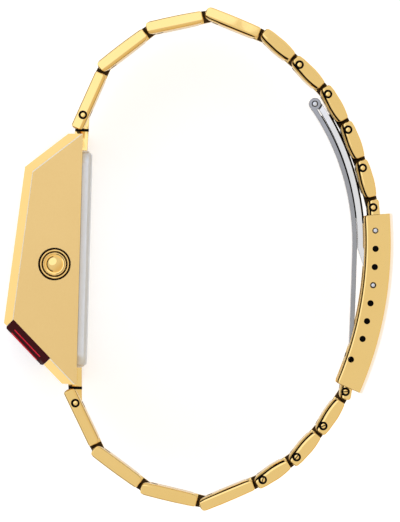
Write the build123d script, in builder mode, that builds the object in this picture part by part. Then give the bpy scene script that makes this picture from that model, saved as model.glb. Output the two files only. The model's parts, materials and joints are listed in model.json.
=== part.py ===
"""Wristwatch with a light-emitting display under a slanted red window.

It lies on its side. X runs from the front of the case to the clasp, Y from 6 to 12 o'clock, and Z up
along the hinge pins to the button's side. The bracelet is a closed loop: ten links run from the 12
o'clock end to the clasp and eight from the 6 o'clock end. The origin is on the ground under the middle
of the loop.
"""

import os
from math import asin, atan2, cos, degrees, hypot, radians, sin, sqrt

from build123d import *

os.makedirs("parts", exist_ok=True)

# Case, in millimetres. Heights are measured from the plane of its back towards the wearer's eye.
case_width = 31.0
case_half_length = 19.85
case_end_thickness = 2.3
top_corner_height = 9.05
top_slope_run = 5.45
low_corner_height = 11.75
low_slope_run = 9.4
bevel_drop = 1.35
bevel_width = 1.8
case_wall = 2.4
side_wall = 2.6
end_wall = 5.95
seat_gap = 0.05
overrun = 2.0

# Window across the slope at 6 o'clock, and the display under it.
lens_length = 8.4
lens_setback = 0.7
lens_sink = 1.5
lens_proud = 0.35
lens_edge_break = 0.25
display_length = 14.4
display_width = 5.4
display_thickness = 2.1
display_pane_thickness = 0.5
digit_count = 4
digit_bulge_width = 2.4
digit_bulge_height = 0.4
digit_pitch = 3.1

# Back plate and its gasket.
back_end_inset = 2.75
back_side_inset = 1.8
back_thickness = 1.4
back_corner = 2.0
back_edge_break = 0.4
back_lip = 0.6
gasket_section = 0.7
gasket_offset = 0.25
gasket_depth = 0.5

# Movement: holder, two cells, their contact strip and the circuit board.
holder_back_gap = 0.75
holder_clearance = 0.15
cell_height = 5.3
cell_gap = 0.5
cell_end_gap = 0.5
holder_rim = 0.9
contact_thickness = 0.2
contact_width = 4.0
board_thickness = 0.8
board_gap = 0.1
board_top_gap = 4.4
board_low_gap = 4.9
board_side_gap = 1.4
chip_size = 5.0
chip_height = 1.2

# Button on the 3 o'clock side: a pusher that slides in a pressed tube.
button_height = 3.97
button_end_gap = 20.75
tube_radius = 2.6
tube_wall = 0.58
tube_length = 3.4
tube_floor = 0.7
tube_lip_break = 0.15
button_clearance = 0.07
button_head_thickness = 1.0
button_rim_width = 0.35
button_rim_depth = 0.25
button_dome_rise = 0.2
button_sink = 0.05
stem_radius = 0.8
stem_clearance = 0.05
stem_tail = 0.7
clip_radius = 1.5
clip_thickness = 0.35
clip_groove = 0.2
clip_gap = 0.03
button_travel = 0.8
spring_thickness = 0.25
spring_edge_gap = 0.1
pocket_clearance = 0.5

# Bracelet links. A link's length is from one pivot to the next.
link_thickness = 2.0
first_link_length = 8.9
long_link_length = 9.6
short_link_length = 6.5
upper_end_link_length = 3.7
lower_end_link_length = 5.2
width_at_case = 20.0
width_at_clasp = 15.8
ear_reach = 1.25
first_ear_reach = 2.4
link_end_gap = 0.7
fork_floor_gap = 0.3
tongue_width = 6.4
tongue_side_gap = 0.15
inner_break = 0.6
tongue_sides = 8
edge_break = 0.2
short_link_crown = 0.15
upper_long_links = 3
upper_short_links = 5
lower_long_links = 3
lower_short_links = 3

# Pivot pins.
pin_radius = 0.45
pin_press = 0.01
pin_running = 0.04
pin_sink = 0.08

# End pieces, fixed to the case behind its ends, whose tongues carry the first links.
lug_reach = 3.05
lug_height = -0.13
end_piece_root = 2.6
end_piece_sink = 1.4
end_piece_rise = 0.7

# Inward bend at each pivot of the closed loop, in degrees, from the case to the clasp.
upper_bends = [22.5, 28.5, 25.5, 34.0, 19.0, 4.5, 14.5, 8.5, 6.0, 9.5]
lower_bends = [27.0, 28.0, 23.0, 36.0, 11.0, 15.5, 7.5, 23.5]

# Clasp cover: a curved channel of sheet with a row of adjustment holes.
cover_radius = 60.0
cover_side_gap = 0.3
cover_plate = 0.8
cover_flange = 0.8
cover_depth = 4.2
cover_crown = 0.6
hole_radius = 0.5
hole_height = 1.8
hole_pitch = 2.9
hole_count = 7
hinge_hole_count = 3
empty_hole_sides = 12
hole_inset = 2.55
latch_height = 1.0
latch_distance = 21.1
latch_inset = 4.4

# The two blades folded under the cover.
fold_link_count = 6
bulge_link_count = 8
links_gap = 0.6
knee_gap = 1.0
knee_run = 2.4
outer_blade_thickness = 0.9
inner_blade_thickness = 0.7
blade_gap = 0.15
blade_side_inset = 1.4
blade_knuckle_radius = 0.95
knuckle_gap = 0.15
knuckle_share = 0.4
hinge_knuckle_radius = 0.95
latch_ear_radius = 0.95
latch_bar_gap = 0.3


def travel(point, heading, distance):
    """The point at a distance from another along a heading in degrees."""
    return (point[0] + distance * cos(radians(heading)), point[1] + distance * sin(radians(heading)))


def heading_of(start, end):
    """The heading from one point to another, in degrees."""
    return degrees(atan2(end[1] - start[1], end[0] - start[0]))


def distance_between(start, end):
    """The distance between two points."""
    return hypot(end[0] - start[0], end[1] - start[1])


# Both chains of the loop, worked out from the middle of the case's back.
half_thickness = link_thickness / 2
upper_lug = (lug_height, case_half_length + lug_reach)
lower_lug = (lug_height, -case_half_length - lug_reach)
upper_lengths = (
    [first_link_length]
    + [long_link_length] * upper_long_links
    + [short_link_length] * upper_short_links
    + [upper_end_link_length]
)
lower_lengths = (
    [first_link_length]
    + [long_link_length] * lower_long_links
    + [short_link_length] * lower_short_links
    + [lower_end_link_length]
)


def chain(start, side, lengths, bends, extra):
    """Pivots and headings of a chain that turns inward by its bends, each with the same extra."""
    pivots, headings = [start], []
    heading = side * 90
    for length, bend in zip(lengths, bends):
        heading -= side * (bend + extra)
        headings.append(heading)
        pivots.append(travel(pivots[-1], heading, length))
    return pivots, headings


# The cover's adjustment holes and its latch hole lie on circles about its centre of curvature.
hole_circle = cover_radius - cover_depth + hole_height
latch_circle = cover_radius - cover_depth + latch_height
latch_turn = degrees(latch_distance / hole_circle)
adjust_local = (hole_circle, 0)
latch_local = travel((0, 0), -latch_turn, latch_circle)
clasp_span = distance_between(adjust_local, latch_local)


def open_span(extra):
    """The distance between the ends of the two chains."""
    upper_end = chain(upper_lug, 1, upper_lengths, upper_bends, extra)[0][-1]
    lower_end = chain(lower_lug, -1, lower_lengths, lower_bends, extra)[0][-1]
    return distance_between(upper_end, lower_end)


# The loop closes when one small extra bend at every pivot brings the ends the clasp's span apart.
most_open, most_closed = -3.0, 3.0
for _ in range(50):
    extra_bend = (most_open + most_closed) / 2
    if open_span(extra_bend) > clasp_span:
        most_open = extra_bend
    else:
        most_closed = extra_bend

upper_pivots, upper_headings = chain(upper_lug, 1, upper_lengths, upper_bends, extra_bend)
lower_pivots, lower_headings = chain(lower_lug, -1, lower_lengths, lower_bends, extra_bend)
adjust_point, latch_point = upper_pivots[-1], lower_pivots[-1]
cover_turn = heading_of(adjust_point, latch_point) - heading_of(adjust_local, latch_local)
cover_centre = travel(adjust_point, cover_turn + 180, hole_circle)
cover_top_turn = cover_turn + degrees(hole_inset / hole_circle)
cover_low_turn = cover_turn - latch_turn - degrees(latch_inset / hole_circle)
hole_turns = [cover_turn - degrees(index * hole_pitch / hole_circle) for index in range(hole_count)]
hinge_point = travel(cover_centre, hole_turns[hinge_hole_count], hole_circle)

# The blades fold beside a link's pivot, clear of the links' inner side.


def beside(index, distance):
    """A point on the inner side of an upper pivot, at a distance from it."""
    before, after = upper_headings[index - 1], upper_headings[min(index, len(upper_headings) - 1)]
    return travel(upper_pivots[index], (before + after) / 2 - 90, distance)


fold_point = beside(fold_link_count, half_thickness + links_gap + blade_knuckle_radius)
bulge = beside(bulge_link_count, half_thickness + links_gap + outer_blade_thickness / 2)
knee_side = beside(len(upper_headings), half_thickness + knee_gap + outer_blade_thickness / 2)
knee = travel(knee_side, cover_turn - 90, knee_run)

# The loop's box, whose middle is the origin.
corners = [(-case_end_thickness, case_half_length), (-low_corner_height - lens_proud, 0)]
for side, pivots, headings, lengths in (
    (1, upper_pivots, upper_headings, upper_lengths),
    (-1, lower_pivots, lower_headings, lower_lengths),
):
    for pivot, heading, length in zip(pivots, headings, lengths):
        outside = travel(pivot, heading + side * 90, half_thickness)
        corners.append(travel(outside, heading, -ear_reach))
        corners.append(travel(outside, heading, length - ear_reach - link_end_gap))
crown_turn = min(max(0, cover_low_turn), cover_top_turn)
corners.append(travel(cover_centre, crown_turn, cover_radius + cover_crown))
middle_x = (min(x for x, y in corners) + max(x for x, y in corners)) / 2
middle_y = (min(y for x, y in corners) + max(y for x, y in corners)) / 2


def shifted(point):
    """A point of the loop in the watch's own frame."""
    return (point[0] - middle_x, point[1] - middle_y)


case_middle = shifted((0, 0))
upper_pivots = [shifted(point) for point in upper_pivots]
lower_pivots = [shifted(point) for point in lower_pivots]
adjust_point, latch_point = shifted(adjust_point), shifted(latch_point)
hinge_point, fold_point = shifted(hinge_point), shifted(fold_point)
bulge, knee = shifted(bulge), shifted(knee)
cover_centre = shifted(cover_centre)
mid_height = case_width / 2


def level(point, height, turn=0, up=1):
    """A horizontal plane through a point, with its X axis along a heading and its Z axis up or down."""
    return Plane(
        origin=(point[0], point[1], height),
        x_dir=(cos(radians(turn)), sin(radians(turn)), 0),
        z_dir=(0, 0, up),
    )


def save(part, name):
    """Labels a finished piece and writes its file."""
    part.part.label = name
    export_step(part.part, f"parts/{name}.step")


# Sizes inside the case that follow from its own.
cavity_half_width = mid_height - side_wall
cavity_half_length = case_half_length - end_wall
cell_radius = (cavity_half_width - holder_clearance - holder_rim - cell_gap / 2) / 2
cell_centre = cavity_half_length - cell_end_gap - cell_radius
board_half_width = cavity_half_width - board_side_gap
button_offset = case_half_length - button_end_gap
back_width = case_width - 2 * back_side_inset
back_length = 2 * (case_half_length - back_end_inset)
board_top = cavity_half_length - board_top_gap
board_bottom = board_low_gap - cavity_half_length

# Widths of the clasp that follow from the links' at it.
cover_width = width_at_clasp + 2 * (cover_side_gap + cover_flange)
blade_width = width_at_clasp - 2 * blade_side_inset

# Outline of the case from the side, about the middle of its back.
case_outline = [
    (0, case_half_length),
    (-case_end_thickness, case_half_length),
    (-top_corner_height, case_half_length - top_slope_run),
    (-low_corner_height, low_slope_run - case_half_length),
    (-case_end_thickness, -case_half_length),
    (0, -case_half_length),
]
low_corner = case_outline[3]
low_slope_heading = heading_of(case_outline[3], case_outline[4])
slope_corner = (case_middle[0] + low_corner[0], case_middle[1] + low_corner[1])
lens_middle = lens_setback + lens_length / 2
lens_place = travel(slope_corner, low_slope_heading, lens_middle)
case_plane = level(case_middle, mid_height)
lens_plane = level(lens_place, mid_height, low_slope_heading)
tongue_seat_width = tongue_width + 2 * tongue_side_gap
back_plane = Plane(origin=(case_middle[0], case_middle[1], mid_height), x_dir=(0, 1, 0), z_dir=(1, 0, 0))
button_place = (case_middle[0] - button_height, case_middle[1] + button_offset)
display_front = lens_sink + seat_gap

with BuildPart() as case_shell:
    with BuildSketch(case_plane):
        with BuildLine():
            Polyline(*case_outline, close=True)
        make_face()
    extrude(amount=case_width / 2, both=True)
    # The bevels follow the two slopes and the front on both sides of the case.
    for side_face in (case_shell.faces().sort_by(Axis.Z)[0], case_shell.faces().sort_by(Axis.Z)[-1]):
        bevelled = side_face.edges().sort_by(Axis.X)[0:3]
        chamfer(bevelled, length=bevel_drop, length2=bevel_width, reference=side_face)
    # The cavity for the movement is open at the back.
    with BuildSketch(case_plane) as cavity:
        with BuildLine():
            Polyline(*case_outline, close=True)
        make_face()
        offset(amount=-case_wall, kind=Kind.INTERSECTION)
        with Locations((-case_wall, 0)):
            Rectangle(case_wall + overrun, 2 * cavity_half_length, align=(Align.MIN, Align.CENTER))
        Rectangle(
            2 * low_corner_height + 2 * overrun, 2 * cavity_half_length, mode=Mode.INTERSECT
        )
    extrude(amount=cavity_half_width, both=True, mode=Mode.SUBTRACT)
    # The window lies in a channel across the whole slope, over an opening for the display.
    with BuildSketch(lens_plane):
        with Locations((0, lens_sink)):
            Rectangle(
                lens_length + 2 * seat_gap,
                lens_sink + lens_proud + overrun,
                align=(Align.CENTER, Align.MAX),
            )
    extrude(amount=case_width / 2 + overrun, both=True, mode=Mode.SUBTRACT)
    with BuildSketch(lens_plane):
        with Locations((0, lens_sink)):
            Rectangle(
                display_width + 2 * holder_clearance,
                display_thickness + 2 * seat_gap,
                align=(Align.CENTER, Align.MIN),
            )
    extrude(amount=display_length / 2 + holder_clearance, both=True, mode=Mode.SUBTRACT)
    # Recesses for the end pieces of the bracelet.
    for end in (1, -1):
        with BuildSketch(case_plane):
            with Locations((-end_piece_sink - seat_gap, end * (case_half_length - end_piece_root - seat_gap))):
                Rectangle(
                    end_piece_sink + overrun,
                    end_piece_root + overrun,
                    align=(Align.MIN, Align.MIN if end > 0 else Align.MAX),
                )
        extrude(amount=tongue_width / 2 + seat_gap, both=True, mode=Mode.SUBTRACT)
    # Bore for the button's tube.
    with BuildSketch(level(button_place, case_width)):
        Circle(tube_radius + pin_press)
    extrude(amount=-side_wall - overrun, mode=Mode.SUBTRACT)
    # Groove of the gasket.
    with BuildSketch(back_plane):
        Rectangle(
            2 * (cavity_half_length + gasket_offset + gasket_section),
            2 * (cavity_half_width + gasket_offset + gasket_section),
        )
        Rectangle(
            2 * (cavity_half_length + gasket_offset), 2 * (cavity_half_width + gasket_offset), mode=Mode.SUBTRACT
        )
    extrude(amount=-gasket_depth, mode=Mode.SUBTRACT)
save(case_shell, "case_shell")

with BuildPart() as lens:
    with BuildSketch(lens_plane):
        with Locations((0, lens_sink)):
            Rectangle(lens_length, lens_sink + lens_proud, align=(Align.CENTER, Align.MAX))
    extrude(amount=case_width / 2, both=True)
    outward_order = Axis(lens_plane.origin, lens_plane.y_dir)
    for side_face in (lens.faces().sort_by(Axis.Z)[0], lens.faces().sort_by(Axis.Z)[-1]):
        outer_edge = side_face.edges().sort_by(outward_order)[0]
        chamfer(
            outer_edge, length=lens_sink + lens_proud - edge_break, length2=bevel_width, reference=side_face
        )
    front_face = lens.faces().sort_by(outward_order)[0]
    chamfer(front_face.edges().filter_by(Axis.Z), length=lens_edge_break)
save(lens, "window")

# The display: a carrier with a pane and one magnifying bubble for each digit.
with BuildPart() as display:
    with BuildSketch(lens_plane):
        with Locations((0, display_front + display_pane_thickness)):
            Rectangle(display_width, display_thickness - display_pane_thickness, align=(Align.CENTER, Align.MIN))
    extrude(amount=display_length / 2, both=True)
    digits_plane = Plane(
        origin=lens_plane.origin + lens_plane.y_dir * (display_front + display_pane_thickness),
        x_dir=(0, 0, 1),
        z_dir=-lens_plane.y_dir,
    )
    with BuildSketch(digits_plane):
        with GridLocations(digit_pitch, 0, digit_count, 1):
            Rectangle(digit_bulge_width, display_width - 2 * holder_clearance)
    extrude(amount=digit_bulge_height)
save(display, "led_display")

holder_depth = low_corner_height - case_wall - board_gap - board_thickness
with BuildPart() as holder:
    with BuildSketch(case_plane):
        with BuildLine():
            Polyline(*case_outline, close=True)
        make_face()
        offset(amount=-case_wall - holder_clearance, kind=Kind.INTERSECTION)
        with Locations((-holder_back_gap, 0)):
            Rectangle(
                cell_height - holder_back_gap + contact_thickness,
                2 * (cavity_half_length - holder_clearance),
                align=(Align.MAX, Align.CENTER),
                mode=Mode.INTERSECT,
            )
    extrude(amount=cavity_half_width - holder_clearance, both=True)
    # Wells for the two cells, an opening over the board and a pocket for the button's stem.
    with BuildSketch(back_plane):
        with GridLocations(0, 2 * cell_radius + cell_gap, 1, 2):
            with Locations((cell_centre, 0)):
                Circle(cell_radius + holder_clearance)
    extrude(amount=-low_corner_height, mode=Mode.SUBTRACT)
    with BuildSketch(lens_plane):
        Rectangle(
            display_width + 4 * pocket_clearance,
            2 * (display_front + display_thickness + pocket_clearance),
        )
    extrude(amount=display_length / 2 + pocket_clearance, both=True, mode=Mode.SUBTRACT)
    with BuildSketch(level(button_place, case_width)):
        Circle(tube_radius + pocket_clearance)
    extrude(
        amount=-tube_length - stem_tail - button_travel - clip_thickness - pocket_clearance, mode=Mode.SUBTRACT
    )
save(holder, "module_holder")

cell_base = Plane(
    origin=(case_middle[0] - back_lip - contact_thickness - seat_gap, case_middle[1], mid_height),
    x_dir=(0, 1, 0),
    z_dir=(-1, 0, 0),
)
cell_places = [(cell_centre, side * (cell_radius + cell_gap / 2)) for side in (1, -1)]
with BuildPart() as cells:
    with BuildSketch(cell_base):
        with Locations(*cell_places):
            Circle(cell_radius)
    extrude(amount=cell_height)
save(cells, "power_cells")

with BuildPart() as contact:
    with BuildSketch(cell_base):
        with Locations((cell_centre, 0)):
            SlotOverall(4 * cell_radius, contact_width, rotation=90)
    extrude(amount=-contact_thickness)
save(contact, "cell_contact")

board_plane = cell_base.offset(cell_height + board_gap)
with BuildPart() as board:
    with BuildSketch(board_plane):
        with Locations(((board_top + board_bottom) / 2, 0)):
            Rectangle(board_top - board_bottom, 2 * board_half_width)
    extrude(amount=board_thickness)
    with BuildSketch(board_plane.offset(board_thickness)):
        with Locations((board_bottom + chip_size, 0)):
            Rectangle(chip_size, chip_size)
    extrude(amount=chip_height)
save(board, "circuit_board")

with BuildPart() as back:
    with BuildSketch(back_plane):
        RectangleRounded(back_length, back_width, back_corner)
    extrude(amount=back_thickness)
    chamfer(back.faces().sort_by(Axis.X)[-1].edges(), length=back_edge_break)
    with BuildSketch(back_plane):
        Rectangle(
            2 * (cavity_half_length - holder_clearance), 2 * (cavity_half_width - holder_clearance)
        )
        Rectangle(
            2 * (cavity_half_length - holder_clearance - back_lip),
            2 * (cavity_half_width - holder_clearance - back_lip),
            mode=Mode.SUBTRACT,
        )
    extrude(amount=-back_lip)
save(back, "back_plate")

with BuildPart() as gasket:
    with BuildSketch(back_plane.offset(-gasket_depth)):
        Rectangle(
            2 * (cavity_half_length + gasket_offset + gasket_section),
            2 * (cavity_half_width + gasket_offset + gasket_section),
        )
        Rectangle(
            2 * (cavity_half_length + gasket_offset), 2 * (cavity_half_width + gasket_offset), mode=Mode.SUBTRACT
        )
    extrude(amount=gasket_depth)
save(gasket, "back_gasket")

# The button: its tube, the pusher with a rim and a dome, its cone spring and the retaining clip.
tube_bore = tube_radius - tube_wall
with BuildPart() as tube:
    with BuildSketch(level(button_place, case_width)):
        Circle(tube_radius)
    extrude(amount=-tube_length)
    with BuildSketch(level(button_place, case_width)):
        Circle(tube_bore)
    extrude(amount=tube_floor - tube_length, mode=Mode.SUBTRACT)
    with BuildSketch(level(button_place, case_width)):
        Circle(stem_radius + stem_clearance)
    extrude(amount=-tube_length, mode=Mode.SUBTRACT)
    chamfer(tube.faces().sort_by(Axis.Z)[-1].edges(), length=tube_lip_break)
save(tube, "button_tube")

button_radius = tube_bore - button_clearance
button_top = case_width - button_sink
head_bottom = button_top - button_head_thickness
floor_top = case_width - tube_length + tube_floor
clip_top = case_width - tube_length - clip_gap
dome_radius = button_radius - button_rim_width - button_rim_depth
dome_top = button_top - button_rim_depth + button_dome_rise
dome_curve = (dome_radius**2 + button_dome_rise**2) / (2 * button_dome_rise)
dome_half_turn = degrees(asin(dome_radius / dome_curve))
with BuildPart() as button:
    with BuildSketch(Plane(origin=(*button_place, 0), x_dir=(1, 0, 0), z_dir=(0, -1, 0))):
        with BuildLine():
            dome = CenterArc((0, dome_top - dome_curve), dome_curve, 90, -dome_half_turn)
            Polyline(
                dome @ 1,
                (button_radius - button_rim_width, button_top),
                (button_radius, button_top),
                (button_radius, head_bottom),
                (stem_radius, head_bottom),
                (stem_radius, clip_top),
                (stem_radius - clip_groove, clip_top),
                (stem_radius - clip_groove, clip_top - clip_thickness),
                (stem_radius, clip_top - clip_thickness),
                (stem_radius, clip_top - clip_thickness - stem_tail),
                (0, clip_top - clip_thickness - stem_tail),
                dome @ 0,
            )
        make_face()
    revolve(axis=Axis((*button_place, 0), (0, 0, 1)))
save(button, "button")

with BuildPart() as clip:
    with BuildSketch(level(button_place, clip_top)):
        Circle(clip_radius)
        Circle(stem_radius - clip_groove, mode=Mode.SUBTRACT)
        with Locations((clip_radius, 0)):
            Rectangle(2 * clip_radius, stem_radius, mode=Mode.SUBTRACT)
    extrude(amount=-clip_thickness)
save(clip, "button_clip")

with BuildPart() as spring:
    with BuildSketch(Plane(origin=(*button_place, 0), x_dir=(1, 0, 0), z_dir=(0, -1, 0))):
        with BuildLine():
            inner_edge, outer_edge = stem_radius + spring_edge_gap, tube_bore - spring_edge_gap
            Polyline(
                (inner_edge, head_bottom - seat_gap),
                (inner_edge, head_bottom - seat_gap - spring_thickness),
                (outer_edge, floor_top + seat_gap),
                (outer_edge, floor_top + seat_gap + spring_thickness),
                close=True,
            )
        make_face()
    revolve(axis=Axis((*button_place, 0), (0, 0, 1)))
save(spring, "button_spring")

# End pieces: a root let into the case and a tongue that carries the first link.
for side, name, lug in ((1, "upper_end_piece", upper_pivots[0]), (-1, "lower_end_piece", lower_pivots[0])):
    root_y = case_middle[1] + side * (case_half_length - end_piece_root)
    end_y = case_middle[1] + side * case_half_length
    with BuildPart() as end_piece:
        with BuildSketch(level((0, 0), mid_height)):
            with BuildLine():
                Polyline(
                    (case_middle[0] - end_piece_sink, root_y),
                    (case_middle[0] - end_piece_sink, end_y),
                    (lug[0] - half_thickness, lug[1]),
                    (lug[0] + half_thickness, lug[1]),
                    (case_middle[0] + end_piece_rise, root_y),
                    close=True,
                )
            make_face()
            with Locations(lug):
                Circle(half_thickness)
                Circle(pin_radius + pin_running, mode=Mode.SUBTRACT)
        extrude(amount=tongue_width / 2, both=True)
    save(end_piece, name)


def make_link(name, pivot, heading, side, length, widths, reach, crown, tongue, whole_pin):
    """A link with a fork and its pin at its case end, and a tongue at its clasp end."""
    # X runs along the link and Y outward.
    plane = level(pivot, mid_height, heading, side)
    near, far = -reach, length - ear_reach - link_end_gap
    near_width, pin_width, far_width = widths
    tongue_half = half_thickness - crown
    fork_half = tongue_width / 2 + tongue_side_gap
    with BuildPart() as link:
        with BuildSketch(plane):
            with BuildLine():
                inner = Line((near, -half_thickness), (far, -half_thickness))
                if crown > 0:
                    outer = ThreePointArc(
                        (near, tongue_half), ((near + far) / 2, half_thickness), (far, tongue_half)
                    )
                else:
                    outer = Line((near, half_thickness), (far, half_thickness))
                Line(inner @ 0, outer @ 0)
                Line(inner @ 1, outer @ 1)
            make_face()
        extrude(amount=near_width, both=True)
        with BuildSketch(Plane(origin=plane.origin, x_dir=plane.x_dir, z_dir=plane.y_dir)):
            with BuildLine():
                Polyline(
                    (near, -near_width / 2),
                    (far, -far_width / 2),
                    (far, far_width / 2),
                    (near, near_width / 2),
                    close=True,
                )
            make_face()
        extrude(amount=link_thickness, both=True, mode=Mode.INTERSECT)
        inner_edges = link.edges().filter_by(Axis.Z).sort_by_distance(plane.origin + plane.y_dir * -length)[:2]
        chamfer(inner_edges, length=inner_break)
        # The fork that the tongue before it turns in.
        with BuildSketch(plane):
            with Locations((half_thickness + fork_floor_gap, 0)):
                Rectangle(reach + link_thickness + overrun, 2 * link_thickness, align=(Align.MAX, Align.CENTER))
        extrude(amount=fork_half, both=True, mode=Mode.SUBTRACT)
        # The tongue, bored for the next link's pin.
        with BuildSketch(plane):
            with Locations((length, 0)):
                RegularPolygon(tongue_half, tongue_sides, major_radius=False)
                Rectangle(
                    ear_reach + link_end_gap + inner_break,
                    2 * tongue_half,
                    align=(Align.MAX, Align.CENTER),
                )
                Circle(pin_radius + pin_running, mode=Mode.SUBTRACT)
        extrude(amount=tongue / 2, both=True)
        # The pin, riveted into both ears.
        if whole_pin:
            with BuildSketch(plane):
                Circle(pin_radius)
            extrude(amount=fork_half, both=True)
    save(link, name)


def make_chain(prefix, side, pivots, headings, lengths, long_links, end_tongue, first_pin):
    """All links of one chain, narrowing from the case to the clasp."""
    total = sum(lengths)
    done = 0
    for index, (pivot, heading, length) in enumerate(zip(pivots, headings, lengths)):
        slope = (width_at_clasp - width_at_case) / total
        pin_width = width_at_case + slope * done
        reach = first_ear_reach if index == 0 else ear_reach
        last = index == len(lengths) - 1
        make_link(
            f"{prefix}_link_{index + 1}",
            pivot,
            heading,
            side,
            length,
            (pin_width - slope * reach, pin_width, pin_width + slope * (length - ear_reach)),
            reach,
            short_link_crown if index > long_links else 0,
            end_tongue if last else tongue_width,
            first_pin or index > 0,
        )
        done += length


make_chain(
    "upper", 1, upper_pivots, upper_headings, upper_lengths, upper_long_links, width_at_clasp, True
)
make_chain(
    "lower", -1, lower_pivots, lower_headings, lower_lengths, lower_long_links, tongue_width, False
)

# The cover: its section is turned about the centre of curvature.
cover_inside = cover_width - 2 * cover_flange
flange_edge = cover_radius - cover_depth
top_direction = (cos(radians(cover_top_turn)), sin(radians(cover_top_turn)), 0)
section_plane = Plane(
    origin=(*cover_centre, mid_height), x_dir=top_direction, z_dir=(top_direction[1], -top_direction[0], 0)
)
cover_axis = Axis((*cover_centre, 0), (0, 0, -1))
with BuildPart() as cover:
    with BuildSketch(section_plane):
        with BuildLine():
            Polyline(
                (cover_radius, -cover_width / 2),
                (flange_edge, -cover_width / 2),
                (flange_edge, cover_width / 2),
                (cover_radius, cover_width / 2),
            )
            ThreePointArc(
                (cover_radius, cover_width / 2),
                (cover_radius + cover_crown, 0),
                (cover_radius, -cover_width / 2),
            )
        make_face()
        with Locations((cover_radius - cover_plate, 0)):
            Rectangle(
                cover_depth + overrun, cover_inside, align=(Align.MAX, Align.CENTER), mode=Mode.SUBTRACT
            )
    revolve(axis=cover_axis, revolution_arc=cover_top_turn - cover_low_turn)
    with BuildSketch(level(cover_centre, mid_height)):
        for index, turn in enumerate(hole_turns):
            with Locations(travel((0, 0), turn, hole_circle)):
                if index in (0, hinge_hole_count):
                    Circle(hole_radius)
                else:
                    RegularPolygon(hole_radius, empty_hole_sides)
        with Locations((latch_point[0] - cover_centre[0], latch_point[1] - cover_centre[1])):
            RegularPolygon(hole_radius, empty_hole_sides)
    extrude(amount=cover_width, both=True, mode=Mode.SUBTRACT)
save(cover, "clasp_cover")


def bar(name, place, radius, length):
    """A plain round bar across the clasp."""
    with BuildPart() as rod:
        with BuildSketch(level(place, mid_height)):
            Circle(radius)
        extrude(amount=length / 2, both=True)
    save(rod, name)


bar("adjuster_bar", adjust_point, pin_radius, cover_width - 2 * pin_sink)
bar("cover_hinge_pin", hinge_point, hole_radius - pin_press, cover_width - 2 * pin_sink)
bar("fold_hinge_pin", fold_point, pin_radius, blade_width - 2 * pin_sink)
bar("latch_bar", latch_point, pin_radius, cover_inside - 2 * latch_bar_gap)

# The outer blade runs from the cover's hinge along the links' inner side to the fold.
blade_inward = heading_of(hinge_point, fold_point) + 90
outer_end = travel(fold_point, blade_inward, outer_blade_thickness / 2 - blade_knuckle_radius)
blade_step = (outer_blade_thickness + inner_blade_thickness) / 2 + blade_gap
inner_knee = travel(knee, blade_inward, blade_step)
inner_bulge = travel(bulge, blade_inward, blade_step)
inner_end = travel(fold_point, blade_inward, blade_knuckle_radius - inner_blade_thickness / 2)
knuckle_half = knuckle_share * blade_width / 2
ground = level((0, 0), mid_height)
with BuildPart() as outer_blade:
    with BuildSketch(ground):
        with BuildLine():
            ThreePointArc(knee, bulge, outer_end)
            Line(hinge_point, knee)
        trace(line_width=outer_blade_thickness)
        with Locations(knee):
            Circle(outer_blade_thickness / 2)
        with Locations(hinge_point):
            Circle(hinge_knuckle_radius)
        with Locations(hinge_point):
            Circle(hole_radius + pin_running, mode=Mode.SUBTRACT)
        with Locations(fold_point):
            Circle(blade_knuckle_radius + knuckle_gap, mode=Mode.SUBTRACT)
    extrude(amount=blade_width / 2, both=True)
    # The middle knuckle, turned round the fold's pin and joined to the blade.
    with BuildSketch(ground):
        with BuildLine():
            ThreePointArc(knee, bulge, outer_end)
        trace(line_width=outer_blade_thickness)
        with Locations(bulge):
            Circle(distance_between(bulge, fold_point) - 2 * blade_knuckle_radius, mode=Mode.SUBTRACT)
        with Locations(knee):
            Circle(distance_between(bulge, knee), mode=Mode.SUBTRACT)
        with Locations(fold_point):
            Circle(blade_knuckle_radius)
            Circle(pin_radius + pin_running, mode=Mode.SUBTRACT)
    extrude(amount=knuckle_half - tongue_side_gap, both=True)
save(outer_blade, "outer_blade")

with BuildPart() as inner_blade:
    with BuildSketch(ground):
        with BuildLine():
            inner_arc = ThreePointArc(inner_end, inner_bulge, inner_knee)
            TangentArc(inner_knee, latch_point, tangent=inner_arc % 1)
        trace(line_width=inner_blade_thickness)
        with Locations(fold_point):
            Circle(blade_knuckle_radius)
        with Locations(latch_point):
            Circle(latch_ear_radius)
        with Locations(fold_point, latch_point):
            Circle(pin_radius + pin_press, mode=Mode.SUBTRACT)
    extrude(amount=blade_width / 2, both=True)
    with BuildSketch(level(fold_point, mid_height)):
        Circle(blade_knuckle_radius + knuckle_gap)
    extrude(amount=knuckle_half, both=True, mode=Mode.SUBTRACT)
    with BuildSketch(level(latch_point, mid_height)):
        Circle(half_thickness + fork_floor_gap)
    extrude(amount=tongue_width / 2 + tongue_side_gap, both=True, mode=Mode.SUBTRACT)
save(inner_blade, "inner_blade")
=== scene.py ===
# %% [markdown]
# # A gold-tone watch with a slanted display window, on its link bracelet
# The watch lies on its side, and the camera looks straight down at the button's side. The CAD parts are the
# frame: they fix every size and every hinge. This script gives each part its finish, and where edges, pins
# or holes show, it builds a finer piece that stands for the plain one. It goes from the metals over the
# case, the button, the bracelet and the clasp to the floor, the light and the camera.

import json
import math

import bmesh
import bpy
from mathutils import Matrix, Vector

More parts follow.
